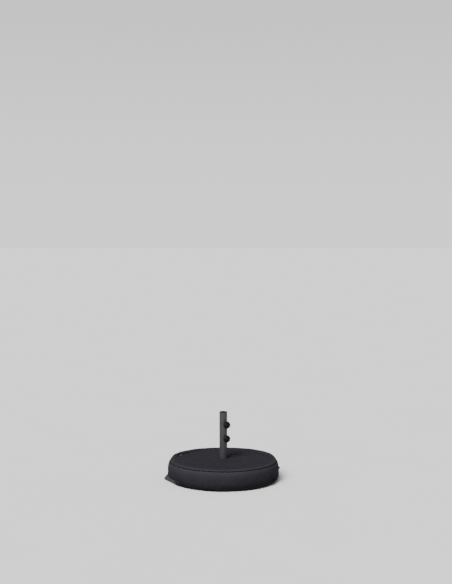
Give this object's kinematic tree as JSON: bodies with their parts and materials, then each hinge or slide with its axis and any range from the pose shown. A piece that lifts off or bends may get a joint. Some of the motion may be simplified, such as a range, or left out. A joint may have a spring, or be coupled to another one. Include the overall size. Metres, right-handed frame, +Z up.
{
  "type": "parasol base",
  "caption": "Round sand-filled cloth parasol base with carrying handles, a zip in its top and an upright steel tube that clamps the pole with hand screws.",
  "frame": {"origin": "on the ground, on the clamp tube's axis", "axes": "+Z up along the clamp tube, -Y to the front, +X to the right seen from the front; the zip is at the back"},
  "size_m": [0.7061, 0.6812, 0.4183],
  "materials": {
    "cover_cloth": "matt woven polyester, charcoal with a faint violet cast",
    "ground_cloth": "matt coated cloth, near black",
    "webbing": "matt ribbed polyester webbing, dark grey",
    "black_tape": "matt black woven tape and nylon zip coil",
    "zip_metal": "gunmetal plate, slightly worn",
    "tube_paint": "satin dark grey powder coat",
    "foot_paint": "satin black powder coat",
    "zinc": "bright zinc plate",
    "black_plastic": "fine-grained black nylon",
    "sand_liner": "thick translucent grey liner film, filled with sand"
  },
  "bodies": {
    "root": {"cover_side": "cover_cloth", "cover_top": "cover_cloth", "handle_left_patch_a": "cover_cloth", "handle_left_patch_b": "cover_cloth", "handle_front_right_patch_a": "cover_cloth", "handle_front_right_patch_b": "cover_cloth", "handle_back_right_patch_a": "cover_cloth", "handle_back_right_patch_b": "cover_cloth", "cover_bottom": "ground_cloth", "neck_ring": "black_tape", "top_seam_binding": "black_tape", "bottom_seam_binding": "black_tape", "zip_tape_inner": "black_tape", "zip_tape_outer": "black_tape", "zip_coil": "black_tape", "side_loop": "black_tape", "zip_stop_right": "zip_metal", "zip_stop_left": "zip_metal", "clamp_tube": "tube_paint", "upper_boss": "tube_paint", "lower_boss": "tube_paint", "ground_plate": "foot_paint", "foot_flange": "foot_paint", "flange_bolt_1": "zinc", "flange_bolt_2": "zinc", "flange_bolt_3": "zinc", "flange_bolt_4": "zinc", "flange_washer_1": "zinc", "flange_washer_2": "zinc", "flange_washer_3": "zinc", "flange_washer_4": "zinc", "flange_nut_1": "zinc", "flange_nut_2": "zinc", "flange_nut_3": "zinc", "flange_nut_4": "zinc", "top_bush": "black_plastic", "pole_seat": "black_plastic", "ballast_tie_left": "black_plastic", "ballast_tie_right": "black_plastic", "ballast_bag_left": "sand_liner", "ballast_bag_right": "sand_liner"},
    "slider": {"zip_slider": "zip_metal"},
    "pull": {"zip_pull": "zip_metal"},
    "upper_clamp_pad": {"upper_pad": "black_plastic"},
    "upper_hand_screw": {"upper_stud": "zinc", "upper_knob": "black_plastic"},
    "lower_clamp_pad": {"lower_pad": "black_plastic"},
    "lower_hand_screw": {"lower_stud": "zinc", "lower_knob": "black_plastic"},
    "left_handle": {"handle_left": "webbing"},
    "back_right_handle": {"handle_back_right": "webbing"},
    "front_right_handle": {"handle_front_right": "webbing"}
  },
  "joints": [
    {"name": "zip_travel", "type": "hinge", "parent": "root", "child": "slider", "pos_m": [0, 0, 0], "axis": [0, 0, 1], "range_deg": [-125, 0]},
    {"name": "pull_flip", "type": "hinge", "parent": "slider", "child": "pull", "pos_m": [-0.26102, 0.12171, 0.1268], "axis": [0.9063, -0.4226, 0], "range_deg": [-190, 0]},
    {"name": "upper_pad_slide", "type": "slide", "parent": "root", "child": "upper_clamp_pad", "axis": [0.4695, -0.8829, 0], "range_m": [-0.0054, 0.006]},
    {"name": "upper_screw_turn", "type": "hinge", "parent": "upper_clamp_pad", "child": "upper_hand_screw", "pos_m": [0, 0, 0.343], "axis": [0.4695, -0.8829, 0], "range_deg": [-1290, 1440]},
    {"name": "lower_pad_slide", "type": "slide", "parent": "root", "child": "lower_clamp_pad", "axis": [0.4695, -0.8829, 0], "range_m": [-0.0054, 0.006]},
    {"name": "lower_screw_turn", "type": "hinge", "parent": "lower_clamp_pad", "child": "lower_hand_screw", "pos_m": [0, 0, 0.258], "axis": [0.4695, -0.8829, 0], "range_deg": [-1290, 1440]},
    {"name": "left_handle_lift", "type": "slide", "parent": "root", "child": "left_handle", "axis": [-0.3011, 0, 0.9536], "range_m": [0, 0.03], "deforming": ["handle_left"]},
    {"name": "back_right_handle_lift", "type": "slide", "parent": "root", "child": "back_right_handle", "axis": [0.1506, 0.2608, 0.9536], "range_m": [0, 0.03], "deforming": ["handle_back_right"]},
    {"name": "front_right_handle_lift", "type": "slide", "parent": "root", "child": "front_right_handle", "axis": [0.3, -0.5196, 0.8], "range_m": [0, 0.045], "deforming": ["handle_front_right"]}
  ],
  "couplings": [
    {"joint": "upper_pad_slide", "follows": "upper_screw_turn", "m_per_rad": 0.00023873},
    {"joint": "lower_pad_slide", "follows": "lower_screw_turn", "m_per_rad": 0.00023873}
  ]
}
